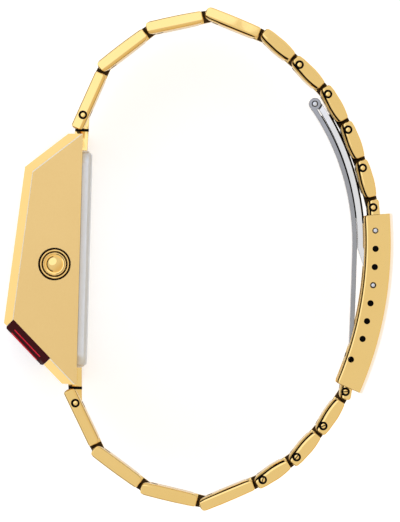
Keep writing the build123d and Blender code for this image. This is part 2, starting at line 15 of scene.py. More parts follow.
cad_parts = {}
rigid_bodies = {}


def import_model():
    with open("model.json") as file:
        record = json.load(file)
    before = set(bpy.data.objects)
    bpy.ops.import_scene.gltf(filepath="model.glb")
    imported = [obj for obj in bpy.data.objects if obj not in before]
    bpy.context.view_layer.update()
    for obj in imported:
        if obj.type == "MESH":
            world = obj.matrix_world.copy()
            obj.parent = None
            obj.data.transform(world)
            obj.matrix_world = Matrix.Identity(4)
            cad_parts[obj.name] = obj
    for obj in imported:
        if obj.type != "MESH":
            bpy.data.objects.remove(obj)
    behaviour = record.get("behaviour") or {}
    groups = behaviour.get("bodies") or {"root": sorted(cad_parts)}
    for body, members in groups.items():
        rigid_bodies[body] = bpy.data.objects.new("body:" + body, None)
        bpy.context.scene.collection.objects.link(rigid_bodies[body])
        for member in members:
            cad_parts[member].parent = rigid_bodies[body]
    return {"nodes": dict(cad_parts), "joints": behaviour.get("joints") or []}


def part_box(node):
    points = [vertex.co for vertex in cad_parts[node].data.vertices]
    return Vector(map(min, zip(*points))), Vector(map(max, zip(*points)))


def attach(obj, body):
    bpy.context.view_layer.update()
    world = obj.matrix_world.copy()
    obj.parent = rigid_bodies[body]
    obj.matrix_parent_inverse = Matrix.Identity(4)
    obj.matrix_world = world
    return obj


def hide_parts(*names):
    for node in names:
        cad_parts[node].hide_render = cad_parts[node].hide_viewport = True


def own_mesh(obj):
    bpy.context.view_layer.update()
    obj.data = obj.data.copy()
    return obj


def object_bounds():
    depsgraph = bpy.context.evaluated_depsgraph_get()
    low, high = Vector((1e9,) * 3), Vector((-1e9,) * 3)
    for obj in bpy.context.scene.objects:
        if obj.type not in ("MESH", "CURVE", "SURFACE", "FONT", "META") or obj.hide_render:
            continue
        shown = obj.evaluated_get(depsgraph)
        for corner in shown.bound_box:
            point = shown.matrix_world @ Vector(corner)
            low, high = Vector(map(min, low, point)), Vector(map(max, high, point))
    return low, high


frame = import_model()
cad_low, cad_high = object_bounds()
mm = 0.001
print("CAD box in mm:", [round(c / mm, 1) for c in cad_high - cad_low])

# %% [markdown]
# ## Where the hinges are
# Every link runs from one hinge to the next, and the hinges' places are in the frame's joints. Only the
# first hinge at 6 o'clock isn't there, because the loop is opened at it: it lies as far below the case's
# middle as the one at 12 o'clock lies above it. Sizes that the frame can't tell, such as how thick a link
# is, are written here once in metres. The gap at a link's end is narrower than the CAD's, as in the
# picture.

# %% Hinges and sizes
joint_at = {joint["name"]: Vector(joint["pos_m"]) for joint in frame["joints"] if "pos_m" in joint}
upper_count, lower_count = 10, 8
shell_low, shell_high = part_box("case_shell")
case_back = shell_high.x
case_middle = Vector((case_back, (shell_low.y + shell_high.y) / 2, (shell_low.z + shell_high.z) / 2))
case_top = shell_high.z

upper_hinges = [joint_at[f"upper_hinge_{index}"] for index in range(1, upper_count + 1)]
upper_hinges.append(joint_at["adjuster_hinge"])
open_hinge = upper_hinges[0].copy()
open_hinge.y = 2 * case_middle.y - open_hinge.y
lower_hinges = [open_hinge] + [joint_at[f"lower_hinge_{index}"] for index in range(2, lower_count + 1)]
lower_hinges.append(joint_at["latch_hinge"])

link_thickness = 2.0 * mm
half_thickness = link_thickness / 2
ear_reach = 1.25 * mm
first_ear_reach = 2.4 * mm
link_end_gap = 0.38 * mm
fork_floor = 1.3 * mm
fork_half_width = 3.35 * mm
tongue_half_width = 3.2 * mm
width_at_case = 20.0 * mm
width_at_clasp = 15.8 * mm
print("hinges:", len(upper_hinges), "above and", len(lower_hinges), "below")

# %% [markdown]
# ## Helpers for shaping by hand
# In the viewport a modeller clicks what the next tool works on. A script has to choose it by place, so one
# helper selects the vertices, edges or faces that pass a test. Others start a piece, apply a modifier, cut
# one piece with another, and lay a finished piece into the frame.

# %% Helpers
near = 0.01 * mm
triangle_gap, seam_gap = 0.002 * mm, 0.0005 * mm
along_x, along_y = Vector((1, 0, 0)), Vector((0, 1, 0))


def open_mesh():
    """Opens the active piece's mesh in edit mode."""
    bpy.ops.object.mode_set(mode="EDIT")


def close_mesh():
    """Goes back to object mode."""
    bpy.ops.object.mode_set(mode="OBJECT")


def take_all():
    """Selects all of the open mesh."""
    bpy.ops.mesh.select_all(action="SELECT")


def dissolve(degrees):
    """Makes one face of those in the open mesh that lie in one plane, within an angle."""
    take_all()
    bpy.ops.mesh.dissolve_limited(angle_limit=math.radians(degrees))


def work_on(piece):
    """Leaves object mode with only this piece selected and active."""
    if bpy.context.object and bpy.context.object.mode != "OBJECT":
        close_mesh()
    bpy.ops.object.select_all(action="DESELECT")
    piece.select_set(True)
    bpy.context.view_layer.objects.active = piece


def begin(name):
    """Names the primitive that was just added and opens it in edit mode."""
    piece = bpy.context.object
    piece.name = name
    work_on(piece)
    bpy.ops.object.transform_apply(location=True, rotation=True, scale=True)
    open_mesh()
    bpy.ops.mesh.select_mode(type="VERT")
    return piece


def choose(piece, kind, wanted):
    """Selects only the vertices, edges or faces that pass a test, and returns how many there are."""
    bpy.ops.mesh.select_mode(type=kind)
    bpy.ops.mesh.select_all(action="DESELECT")
    shape = bmesh.from_edit_mesh(piece.data)
    members = {"VERT": shape.verts, "EDGE": shape.edges, "FACE": shape.faces}[kind]
    chosen = [member for member in members if wanted(member)]
    for member in chosen:
        member.select_set(True)
    shape.select_flush_mode()
    bmesh.update_edit_mesh(piece.data)
    return len(chosen)


def slice_at(place, normal):
    """Cuts the mesh that is open in edit mode by a plane, and keeps both sides."""
    take_all()
    bpy.ops.mesh.bisect(plane_co=place, plane_no=normal)


def middle(edge):
    """The middle of an edge."""
    return (edge.verts[0].co + edge.verts[1].co) / 2


def along(edge, axis):
    """Whether an edge runs along an axis, 0 for X, 1 for Y and 2 for Z."""
    run = edge.verts[1].co - edge.verts[0].co
    return abs(run[axis]) > 0.99 * run.length


def weigh(piece, weight_of):
    """Gives every edge of an open mesh the bevel weight that a rule works out for it."""
    shape = bmesh.from_edit_mesh(piece.data)
    layer = shape.edges.layers.float.new("bevel_weight_edge")
    for edge in shape.edges:
        edge[layer] = weight_of(edge)
    bmesh.update_edit_mesh(piece.data)


def apply(piece, kind, **settings):
    """Adds a modifier with its settings and applies it."""
    work_on(piece)
    modifier = piece.modifiers.new(kind.title(), kind)
    for setting, value in settings.items():
        setattr(modifier, setting, value)
    bpy.ops.object.modifier_apply(modifier=modifier.name)


def cut(piece, cutter):
    """Takes one piece's shape out of another and deletes the cutter."""
    apply(piece, "BOOLEAN", object=cutter, operation="DIFFERENCE", solver="EXACT")
    bpy.data.objects.remove(cutter)


def smooth(piece, degrees=30):
    """Shades round edges smooth and leaves sharp ones and large faces as they are."""
    work_on(piece)
    bpy.ops.object.shade_smooth_by_angle(angle=math.radians(degrees))
    apply(piece, "WEIGHTED_NORMAL", keep_sharp=True, weight=100)


def lay(piece, origin, its_x=along_x, its_y=along_y):
    """Moves a piece drawn about the world's origin to its place, and applies that to its mesh."""
    its_x, its_y = its_x.normalized(), its_y.normalized()
    turn = Matrix((its_x, its_y, its_x.cross(its_y))).transposed()
    work_on(piece)
    piece.matrix_world = Matrix.Translation(origin) @ turn.to_4x4()
    bpy.ops.object.transform_apply(location=True, rotation=True, scale=True)


def add_object(name, data):
    """A new object in the scene for a mesh, a lamp or a camera."""
    added = bpy.data.objects.new(name, data)
    bpy.context.scene.collection.objects.link(added)
    return added


def copy_of(node, name):
    """A copy of a CAD node with its loose triangles merged and its flat faces whole again."""
    piece = add_object(name, frame["nodes"][node].data.copy())
    work_on(piece)
    open_mesh()
    take_all()
    bpy.ops.mesh.remove_doubles(threshold=triangle_gap)
    dissolve(0.5)
    close_mesh()
    return piece


def bevel(piece, width, segments, degrees):
    """Rounds every edge that is sharper than an angle."""
    limit = math.radians(degrees)
    apply(piece, "BEVEL", width=width, segments=segments, limit_method="ANGLE", angle_limit=limit)


def soften(piece, width, segments=3, degrees=25):
    """Rounds a piece's sharp edges and shades it smooth."""
    bevel(piece, width, segments, degrees)
    smooth(piece)


def axis_of(low, high):
    """The place on the ground of the upright line through a box's middle."""
    return Vector(((low.x + high.x) / 2, (low.y + high.y) / 2, 0))


def finish_as(piece, body, slot, *materials, stands_for=()):
    """Gives a piece its body and materials, and hides the nodes that it stands for. Its slot is not used.
    """
    piece.data.materials.clear()
    for material in materials:
        piece.data.materials.append(material)
    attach(piece, body)
    if stands_for:
        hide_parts(*stands_for)


def faces_where(piece, wanted):
    """The numbers of a piece's faces that pass a test."""
    return {face.index for face in piece.data.polygons if wanted(face)}


def paint(piece, index, numbers):
    """Gives faces another of the piece's materials."""
    for number in numbers:
        piece.data.polygons[number].material_index = index


print("helpers ready")

# %% [markdown]
# ## Effects that the metals share
# Real plating isn't one flat colour: it has a fine grain from the satin wheel, faint swirls from wear, and
# a slow change of tone. Image textures would need files and unwrapped surfaces, so two node groups make it
# from noise on object coordinates. They give out only masks, so each metal decides how much of them it
# takes, and the shader itself stays in the material.


# %% Group: satin grain
def fill(node, values):
    """Sets a shader node's inputs by their names, and returns the node."""
    for entry, value in dict(values).items():
        node.inputs[entry].default_value = value
    return node


def add_node(nodes, kind, values=(), **settings):
    """A new shader node with its settings and its inputs' values."""
    node = nodes.new(f"ShaderNode{kind}")
    for setting, value in settings.items():
        setattr(node, setting, value)
    return fill(node, values)


def new_group(name, entries, results):
    """A node group that takes and gives numbers, with its ends and its object coordinates."""
    group = bpy.data.node_groups.new(name, "ShaderNodeTree")
    for entry, value in entries.items():
        socket = group.interface.new_socket(entry, in_out="INPUT", socket_type="NodeSocketFloat")
        socket.default_value = value
    for result in results:
        group.interface.new_socket(result, in_out="OUTPUT", socket_type="NodeSocketFloat")
    nodes = group.nodes
    given, made = nodes.new("NodeGroupInput"), nodes.new("NodeGroupOutput")
    return group, nodes, group.links.new, given, made, add_node(nodes, "TexCoord")


def satin_grain():
    """Long, thin noise, as a satin wheel leaves it. The stretch says how long the marks are."""
    entries = {"Fineness": 900.0, "Stretch X": 1.0, "Stretch Y": 1.0, "Stretch Z": 1.0}
    group, nodes, wire, given, made, place = new_group("Satin grain", entries, ["Mask"])
    stretch = add_node(nodes, "CombineXYZ")
    stretched = add_node(nodes, "VectorMath", operation="MULTIPLY")
    noise = add_node(nodes, "TexNoise", {"Detail": 3.0, "Roughness": 0.6})
    for axis in "XYZ":
        wire(given.outputs[f"Stretch {axis}"], stretch.inputs[axis])
    wire(place.outputs["Object"], stretched.inputs[0])
    wire(stretch.outputs[0], stretched.inputs[1])
    wire(stretched.outputs[0], noise.inputs["Vector"])
    wire(given.outputs["Fineness"], noise.inputs["Scale"])
    wire(noise.outputs["Fac"], made.inputs["Mask"])
    return group


# %% Group: wear
def wear():
    """Soft clouds of handling and a few fine swirls."""
    entries = {"Cloud size": 120.0, "Swirl size": 1400.0}
    group, nodes, wire, given, made, place = new_group("Wear", entries, ["Clouds", "Swirls"])
    clouds = add_node(nodes, "TexNoise", {"Detail": 2.0})
    swirls = add_node(nodes, "TexNoise", {"Detail": 4.0, "Distortion": 1.5})
    for noise, size, result in ((clouds, "Cloud size", "Clouds"), (swirls, "Swirl size", "Swirls")):
        wire(place.outputs["Object"], noise.inputs["Vector"])
        wire(given.outputs[size], noise.inputs["Scale"])
        wire(noise.outputs["Fac"], made.inputs[result])
    return group


grain_group, wear_group = satin_grain(), wear()
print("groups:", grain_group.name, "and", wear_group.name)

# %% [markdown]
# ## The metals
# Gold plate is a metal, so its colour is in its reflection and not in a paint under a gloss. The case's
# flanks are blasted to a soft satin. The links are polished at their sides and brushed on their flat faces,
# and their recesses, where shade falls, get a near-black gold as painted shade. One recipe makes them all:
# a colour that drifts with the clouds, a roughness between two ends, a bump from the grain and, where it
# is polished, slow ripples.


# %% Metal recipe
def mixed(nodes, wire, factor, first, second):
    """A colour that goes from one to another with a factor."""
    tone = add_node(nodes, "Mix", {"A": (*first, 1), "B": (*second, 1)}, data_type="RGBA")
    wire(factor, tone.inputs["Factor"])
    return tone.outputs["Result"]


def two_toned(name, dark, light):
    """A new material whose colour drifts between two tones, with the nodes that a recipe adds to."""
    material = bpy.data.materials.new(name)
    material.use_nodes = True
    nodes, wire = material.node_tree.nodes, material.node_tree.links.new
    shader, worn = nodes["Principled BSDF"], add_node(nodes, "Group", node_tree=wear_group)
    wire(mixed(nodes, wire, worn.outputs["Clouds"], dark, light), shader.inputs["Base Color"])
    return material, nodes, wire, shader, worn


def spread(nodes, wire, source, low, high, start, end, kind="LINEAR"):
    """Turns a value between low and high into one between start and end."""
    limits = {"From Min": low, "From Max": high, "To Min": start, "To Max": end}
    scale = add_node(nodes, "MapRange", limits, interpolation_type=kind)
    wire(source, scale.inputs["Value"])
    return scale.outputs["Result"]


def metal(name, dark, light, smoothest, roughest, grain, bump, stretch=(1, 1, 1), fineness=900.0, ripple=0):
    """A metal whose colour, roughness and surface change with grain and wear, over slow ripples."""
    material, nodes, wire, shader, worn = two_toned(name, dark, light)
    shader.inputs["Metallic"].default_value = 1.0
    marks = {"Fineness": fineness} | {f"Stretch {axis}": size for axis, size in zip("XYZ", stretch)}
    grained = add_node(nodes, "Group", marks, node_tree=grain_group)
    blend = add_node(nodes, "Mix", {"Factor": grain}, data_type="FLOAT")
    wire(worn.outputs["Swirls"], blend.inputs["A"])
    wire(grained.outputs["Mask"], blend.inputs["B"])
    roughness = spread(nodes, wire, blend.outputs["Result"], 0.3, 0.7, smoothest, roughest)
    wire(roughness, shader.inputs["Roughness"])
    relief = add_node(nodes, "Bump", {"Strength": bump, "Distance": grain_height})
    wire(blend.outputs["Result"], relief.inputs["Height"])
    if ripple > 0:
        waves = add_node(nodes, "Bump", {"Strength": 1.0, "Distance": ripple})
        wire(worn.outputs["Clouds"], waves.inputs["Height"])
        wire(waves.outputs["Normal"], relief.inputs["Normal"])
    wire(relief.outputs["Normal"], shader.inputs["Normal"])
    return material


# %% Gold and steel
grain_height = 0.004 * mm
fine, finest = 3000.0, 6000.0
lengthwise = (1, 1, 0.04)
slow = 0.04 * mm
gold_satin = metal(
    "gold satin", (0.80, 0.55, 0.215), (0.83, 0.58, 0.235), 0.38, 0.46, 0.8, 0.4, fineness=fine
)
gold_polished = metal(
    "gold polished", (0.90, 0.61, 0.21), (0.93, 0.65, 0.25), 0.03, 0.07, 0.3, 0.03, ripple=slow
)
gold_brushed = metal(
    "gold brushed", (0.80, 0.55, 0.22), (0.86, 0.61, 0.27), 0.20, 0.32, 0.9, 0.5, lengthwise, finest
)
# Painted shade: a near-black gold for the links' recesses, where shade falls.
gold_painted_shade = metal(
    "gold painted shade", (0.045, 0.025, 0.009), (0.08, 0.045, 0.016), 0.40, 0.55, 0.7, 0.5, fineness=fine
)
steel_polished = metal(
    "steel polished", (0.78, 0.78, 0.79), (0.88, 0.88, 0.89), 0.04, 0.09, 0.3, 0.05, ripple=slow
)
steel_dull = metal("steel dull", (0.30, 0.30, 0.31), (0.42, 0.42, 0.43), 0.12, 0.22, 0.5, 0.1, ripple=slow)
steel_brushed = metal(
    "steel brushed", (0.64, 0.65, 0.67), (0.69, 0.70, 0.72), 0.28, 0.40, 0.9, 0.4, lengthwise, finest
)
steel_satin = metal(
    "steel satin", (0.76, 0.79, 0.83), (0.82, 0.85, 0.89), 0.50, 0.62, 0.8, 0.3, fineness=fine
)
print("metals ready")

# %% [markdown]
# ## The rest of the materials
# The window is a dark red filter, which reflects white at its surface and colours only the light that goes
# through it. The parts inside get plain shop finishes: moulded nylon, laminate, nickel-plated cans, brass
# and rubber, each with a little change of tone. Two more are painted light: gold painted pale along an
# edge as a painted highlight, and black as painted shade in gaps, holes and hollows.


# %% Other finishes
def plain(name, dark, light, smoothest, roughest, surface=()):
    """A finish whose tone and gloss change a little. The surface holds the shader's other inputs."""
    material, nodes, wire, shader, worn = two_toned(name, dark, light)
    fill(shader, surface)
    roughness = spread(nodes, wire, worn.outputs["Swirls"], 0, 1, smoothest, roughest)
    wire(roughness, shader.inputs["Roughness"])
    return material


filtering = {"IOR": 1.12, "Transmission Weight": 0.1}
solid_metal = {"Metallic": 1.0}
red_window = plain("red filter", (0.042, 0.0025, 0.0040), (0.062, 0.0040, 0.0060), 0.02, 0.07, filtering)
red_painted_highlight = plain("red filter painted highlight", (0.66, 0.012, 0.030), (0.84, 0.022, 0.050), 0.02, 0.07, filtering)
gold_painted_highlight = plain("gold painted highlight", (0.95, 0.86, 0.68), (1.0, 0.92, 0.76), 0.30, 0.40, {"Metallic": 0.15})
# Painted shade: a near-black for gaps, holes, slots and hollows, where shade falls.
painted_shade_black = plain(
    "painted shade black", (0.004, 0.003, 0.002), (0.009, 0.007, 0.005), 0.55, 0.75, {"Specular IOR Level": 0.05}
)
display_red = plain("display moulding", (0.09, 0.006, 0.010), (0.14, 0.012, 0.016), 0.15, 0.30)
black_nylon = plain("black nylon", (0.020, 0.020, 0.022), (0.045, 0.045, 0.047), 0.45, 0.65)
green_laminate = plain("green laminate", (0.015, 0.12, 0.04), (0.03, 0.20, 0.07), 0.30, 0.45)
nickel_can = plain("nickel plate", (0.55, 0.55, 0.53), (0.65, 0.65, 0.62), 0.20, 0.35, solid_metal)
spring_brass = plain("spring brass", (0.66, 0.46, 0.16), (0.76, 0.56, 0.24), 0.22, 0.35, solid_metal)
black_rubber = plain("black rubber", (0.014, 0.014, 0.015), (0.030, 0.030, 0.031), 0.60, 0.80)
print("finishes ready")

# %% [markdown]
# ## The parts inside
# The movement sits in a closed case, so the CAD solids are good enough as they are and only get their
# finish.

# %% Inner parts
inner_finish = {
    "led_display": display_red,
    "module_holder": black_nylon,
    "power_cells": nickel_can,
    "cell_contact": spring_brass,
    "circuit_board": green_laminate,
    "back_gasket": black_rubber,
    "button_clip": steel_polished,
}
for node, material in inner_finish.items():
    frame["nodes"][node].data.materials.clear()
    frame["nodes"][node].data.materials.append(material)
print(len(inner_finish), "inner parts dressed")

# %% [markdown]
# ## The case
# The case is one milled block with two flat flanks, a leaning front, and bright facets along the front's
# edges. In gold, a rounded edge catches the thin line of light that says metal, so the plain solid is
# copied, its triangles are merged into whole faces, and its edges get a small bevel. The flanks stay satin
# and the rest is polished. Where a flank meets a facet, the edge is broader and gets a pale painted
# highlight. The window's end has two strips painted bright red as a painted highlight of the light that
# comes out of the filter, and beside each end piece's root a black band of painted shadow lies in its
# joint.

# %% Case body
edge_of_case = 0.05 * mm
facet_edge = 0.24 * mm
pale_tilts = (0.80, 0.99)
pale_area = 0.3 * mm * mm


def meets_facet(edge):
    """1 for an edge between a flat flank and a facet beside it, and 0 for any other."""
    tilts = sorted(abs(face.normal.z) for face in edge.link_faces)
    return float(len(tilts) == 2 and 0.5 < tilts[0] < 0.9 and tilts[1] > 0.999)


case_body = copy_of("case_shell", "case_body")
open_mesh()
weigh(case_body, meets_facet)
close_mesh()
apply(case_body, "BEVEL", width=facet_edge, segments=1, limit_method="WEIGHT")
soften(case_body, edge_of_case, segments=2, degrees=12)
case_metals = (gold_polished, gold_satin, gold_painted_highlight)
finish_as(case_body, "case", "gold_brushed", *case_metals, stands_for=["case_shell"])
flanks = faces_where(case_body, lambda face: abs(face.normal.z) > 0.999)
pale = faces_where(
    case_body, lambda face: pale_tilts[0] < abs(face.normal.z) < pale_tilts[1] and face.area > pale_area
)
paint(case_body, 1, flanks)
# Painted highlight: the broad bevel faces where a flank meets a facet get a pale, nearly white gold.
paint(case_body, 2, pale)
print("case faces:", len(case_body.data.polygons), "satin:", len(flanks), "pale:", len(pale))

# %% Window
window = copy_of("window", "window_filter")
slope_run, slope_out = Vector((1, -1, 0)).normalized(), Vector((-1, -1, 0)).normalized()
outermost = max(v.co.dot(slope_out) for v in window.data.vertices)
along_slope = [v.co.dot(slope_run) for v in window.data.vertices]
window_start, window_end = min(along_slope), max(along_slope)
window_middle = (window_start + window_end) / 2
glow_depth = 0.16 * mm
line_places = (0.73 * mm, 0.90 * mm)
line_inset = 1.27 * mm
middle_room = 1 * mm
open_mesh()
for place in (glow_depth, *line_places):
    slice_at(slope_out * (outermost - place), slope_out)
for place in (window_start + line_inset, window_end - line_inset):
    slice_at(slope_run * place, slope_run)
close_mesh()


def lights_up(face):
    """Whether a face of the window's end belongs to one of its two strips with a painted highlight."""
    depth, place = outermost - face.center.dot(slope_out), face.center.dot(slope_run)
    in_strip = near < depth < glow_depth or line_places[0] < depth < line_places[1]
    return in_strip and abs(face.normal.z) > 0.5 and abs(place - window_middle) < middle_room


smooth(window)
finish_as(window, "case", "red_window", red_window, red_painted_highlight, stands_for=["window"])
lit = faces_where(window, lights_up)
# Painted highlight: the strips get a bright red that stands for light coming out of the filter's end.
paint(window, 1, lit)
print("window's lit strips:", len(lit), "of", len(window.data.polygons), "faces")

# %% Back plate
edge_of_back = 0.04 * mm
back = copy_of("back_plate", "back_cover")
soften(back, edge_of_back, segments=2)
finish_as(back, "case", "steel_brushed", steel_satin, stands_for=["back_plate"])

# %% End pieces
edge_of_lug = 0.10 * mm
shadow_line_start, shadow_line_end = 20.3 * mm, 20.75 * mm
for side, toward in (("upper", 1), ("lower", -1)):
    end_piece = copy_of(f"{side}_end_piece", f"{side}_lug")
    soften(end_piece, edge_of_lug, segments=2)
    open_mesh()
    for place in (shadow_line_start, shadow_line_end):
        slice_at(case_middle + Vector((0, toward * place, 0)), along_y)
    close_mesh()
    replaced = f"{side}_end_piece"
    finish_as(end_piece, "case", "gold_polished", gold_polished, painted_shade_black, stands_for=[replaced])
    # Painted shadow: a black band beside the case, where the gap at the joint lies in shade.
    dark = faces_where(
        end_piece, lambda face: shadow_line_start < toward * (face.center.y - case_middle.y) < shadow_line_end
    )
    paint(end_piece, 1, dark)
print("case, window, back and end pieces in place")

# %% [markdown]
# ## The button
# The pusher slides in a short tube with a rounded lip. Round the lip is a fine groove, and between the lip
# and the pusher is a gap: both lie in shade and show as two dark rings. A rubber seal sits in each, painted
# black as painted shade. Turned parts like these are drawn as half a section and spun round their axis.
# The pusher's top is a shallow dome inside a thin rim. Under it lies a cone spring, which flattens as the
# button goes in.


# %% Turned parts
def draw_section(name, points):
    """Opens a new piece with one vertex that is pulled from point to point, each a radius and a height."""
    bpy.ops.mesh.primitive_plane_add(size=mm)
    piece = begin(name)
    take_all()
    bpy.ops.mesh.merge(type="CENTER")
    take_all()
    bpy.ops.transform.translate(value=(points[0][0], 0, points[0][1]))
    for before, after in zip(points, points[1:]):
        step = (after[0] - before[0], 0, after[1] - before[1])
        bpy.ops.mesh.extrude_region_move(TRANSFORM_OT_translate={"value": step})
    take_all()
    return piece


def turned(name, points, steps=72):
    """A half section spun round the Z axis. One that doesn't start on the axis is closed first."""
    piece = draw_section(name, points)
    if points[0][0] > near:
        bpy.ops.mesh.edge_face_add()
        bpy.ops.mesh.delete(type="ONLY_FACE")
        take_all()
    bpy.ops.mesh.spin(steps=steps, angle=math.tau, center=(0, 0, 0), axis=(0, 0, 1))
    take_all()
    bpy.ops.mesh.remove_doubles(threshold=seam_gap)
    bpy.ops.mesh.normals_make_consistent(inside=False)
    close_mesh()
    return piece


def arc(centre, radius, start, end, steps):
    """Points of an arc in a section, by angles in degrees."""
    turns = [math.radians(start + (end - start) * step / steps) for step in range(steps + 1)]
    return [(centre[0] + radius * math.cos(turn), centre[1] + radius * math.sin(turn)) for turn in turns]


# %% Tube with its lip
button_low, button_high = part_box("button")
tube_low, tube_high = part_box("button_tube")
button_centre = axis_of(button_low, button_high)
tube_radius = (tube_high.x - tube_low.x) / 2
tube_bore = 2.02 * mm
lip_radius = 0.16 * mm
groove = 0.26 * mm
stem_bore = 0.85 * mm
tube_floor = 0.7 * mm
lip_foot, tube_inside = case_top - 2 * lip_radius, tube_low.z + tube_floor
lip_centre = (tube_radius - groove - lip_radius, case_top - lip_radius)
tube_section = [(stem_bore, tube_low.z), (tube_radius, tube_low.z), (tube_radius, lip_foot)]
tube_section += [(tube_radius - groove, lip_foot), *arc(lip_centre, lip_radius, 0, 180, 8)]
tube_section += [(tube_bore, lip_foot), (tube_bore, tube_inside), (stem_bore, tube_inside)]
tube = turned("pusher_tube", tube_section)
smooth(tube)
lay(tube, button_centre)
finish_as(tube, "case", "gold_polished", gold_polished, stands_for=["button_tube"])

# %% Pusher
pusher_radius = (button_high.x - button_low.x) / 2
pusher_top = button_high.z
neck_radius = 1.84 * mm
neck_depth = 0.45 * mm
rim_round = 0.13 * mm
land_depth = 0.16 * mm
dome_radius = 1.32 * mm
dome_height = 0.30 * mm
dome_edge = 0.05 * mm
dome_foot = 0.02 * mm
rim_share = 2.2
dome_curve = (dome_radius**2 + dome_height**2) / (2 * dome_height)
dome_turn = math.degrees(math.asin(dome_radius / dome_curve))
dome_top = (0, pusher_top - dome_curve)
head_thickness = 1.0 * mm
stem_radius = 0.8 * mm
pusher_section = [
    (0, button_low.z),
    (stem_radius, button_low.z),
    (stem_radius, pusher_top - head_thickness),
    (pusher_radius, pusher_top - head_thickness),
    (pusher_radius, pusher_top - neck_depth),
    (neck_radius, pusher_top - neck_depth),
]
pusher_section += arc((neck_radius - rim_round, pusher_top - rim_round), rim_round, 0, 150, 6)
pusher_section += [(neck_radius - rim_share * rim_round, pusher_top - land_depth)]
pusher_section += [(dome_radius + dome_edge, pusher_top - land_depth - dome_foot)]
pusher_section += arc(dome_top, dome_curve, 90 - dome_turn, 90, 8)
pusher = turned("pusher", pusher_section)
smooth(pusher, 40)
lay(pusher, button_centre)
finish_as(pusher, "button", "gold_polished", gold_polished, stands_for=["button"])

# %% Cone spring
spring_low, spring_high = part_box("button_spring")
spring_sheet = 0.25 * mm
spring_bore = 0.9 * mm
spring_radius = (spring_high.x - spring_low.x) / 2
spring_section = [
    (spring_bore, spring_high.z),
    (spring_bore, spring_high.z - spring_sheet),
    (spring_radius, spring_low.z),
    (spring_radius, spring_low.z + spring_sheet),
]
spring = turned("cone_spring", spring_section)
smooth(spring)
lay(spring, button_centre)
finish_as(spring, "case", "steel_polished", steel_polished, stands_for=["button_spring"])
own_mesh(spring)

# %% Seals
seal_sink = 0.30 * mm
seal_height = 0.25 * mm
seal_room = 0.01 * mm


def seal(name, inner, outer, body):
    """A flat rubber ring in the gap between two turned parts, painted black as the gap's shade."""
    top = case_top - seal_sink
    foot = top - seal_height
    ring = turned(name, [(inner, top), (outer, top), (outer, foot), (inner, foot), (inner, top)])
    smooth(ring)
    lay(ring, button_centre)
    # Painted shade: the seal gets the near-black of the shaded gap.
    finish_as(ring, body, "black_rubber", painted_shade_black)


seal("tube_seal", lip_centre[0] + lip_radius / 2, tube_radius - seal_room, "case")
seal("pusher_seal", neck_radius + seal_room, tube_bore - seal_room, "case")
print("button radius in mm:", round(pusher_radius / mm, 2))

# %% [markdown]
# ## The links
# A link is a small plate with a fork at its case end and a tongue at its clasp end. It starts as a cube,
# cut by planes where the fork and the tongue begin, and the ears and the tongue are pulled out of its ends,
# so the faces stay whole. The tongue thins towards its end, to stay clear of the clasp, and both sides are
# bowed a little. Then the edges are weighed: inner corners are well rounded, the edge along the wrist side
# has a broad polished roll, and outer edges are only just broken. One bevel modifier reads the weights,
# which keeps corners clean where a broad and a fine bevel meet.

# %% Edge rounding
tongue_round = 0.88 * mm
tongue_drop = 0.22 * mm
corner_round = 0.88 * mm
long_roll = 0.66 * mm
short_roll = 0.92 * mm
outer_break = 0.20 * mm
outer_corner = 0.45 * mm
small_break = 0.08 * mm
end_room = 1.2 * mm
flank_room = 1 * mm
weighed = {"segments": 5, "limit_method": "WEIGHT", "use_clamp_overlap": False}


# %% Link maker
def off_middle(face):
    """How far a face of an open link lies from the link's middle, across it."""
    return abs(face.calc_center_median().z)


def make_link(name, length, far, widths, reach, crown, belly, roll, near_corner, full_end):
    """A link lying along X from its fork's hinge at the origin, with its outer side up along Y."""
    near_width, far_width = widths
    bpy.ops.mesh.primitive_cube_add(
        size=1,
        location=((fork_floor + far) / 2, 0, 0),
        scale=(far - fork_floor, link_thickness, near_width),
    )
    link = begin(name)
    for side in (1, -1):
        for half_width in (fork_half_width, tongue_half_width):
            slice_at((0, 0, side * half_width), (0, 0, 1))
    choose(link, "FACE", lambda face: face.normal.x < -0.9 and off_middle(face) > fork_half_width)
    bpy.ops.mesh.extrude_region_move(TRANSFORM_OT_translate={"value": (-fork_floor - reach, 0, 0)})
    if not full_end:
        choose(link, "FACE", lambda face: face.normal.x > 0.9 and off_middle(face) < tongue_half_width)
        tongue_end = length + half_thickness - far
        bpy.ops.mesh.extrude_region_move(TRANSFORM_OT_translate={"value": (tongue_end, 0, 0)})
        choose(link, "VERT", lambda v: v.co.x > far + near and v.co.y > 0)
        bpy.ops.transform.translate(value=(0, -tongue_drop, 0))
    dissolve(1)
    narrow = (near_width - far_width) / 2
    for side in (1, -1):
        choose(link, "VERT", lambda v: v.co.x > far - near and v.co.z * side > near_width / 2 - near)
        bpy.ops.transform.translate(value=(0, 0, -side * narrow))
    if crown + belly > 0:
        places = [end_room - reach, fork_floor + 0.75 * end_room, far - end_room]
        places.insert(2, (places[1] + places[2]) / 2)
        for place in places:
            slice_at((place, 0, 0), (1, 0, 0))
        for place in places:
            share = (place + reach) / (far + reach)
            lift = 1 - (2 * share - 1) ** 2
            for up, bow in ((1, crown), (-1, belly)):
                choose(link, "VERT", lambda v: abs(v.co.x - place) < near and v.co.y * up > 0)
                bpy.ops.transform.translate(value=(0, up * bow * lift, 0))
    weigh(link, lambda edge: link_weight(edge, far, reach, length, roll, near_corner))
    close_mesh()
    apply(link, "BEVEL", width=tongue_round, material=0, **weighed)
    open_mesh()
    dissolve(0.2)
    close_mesh()
    return link


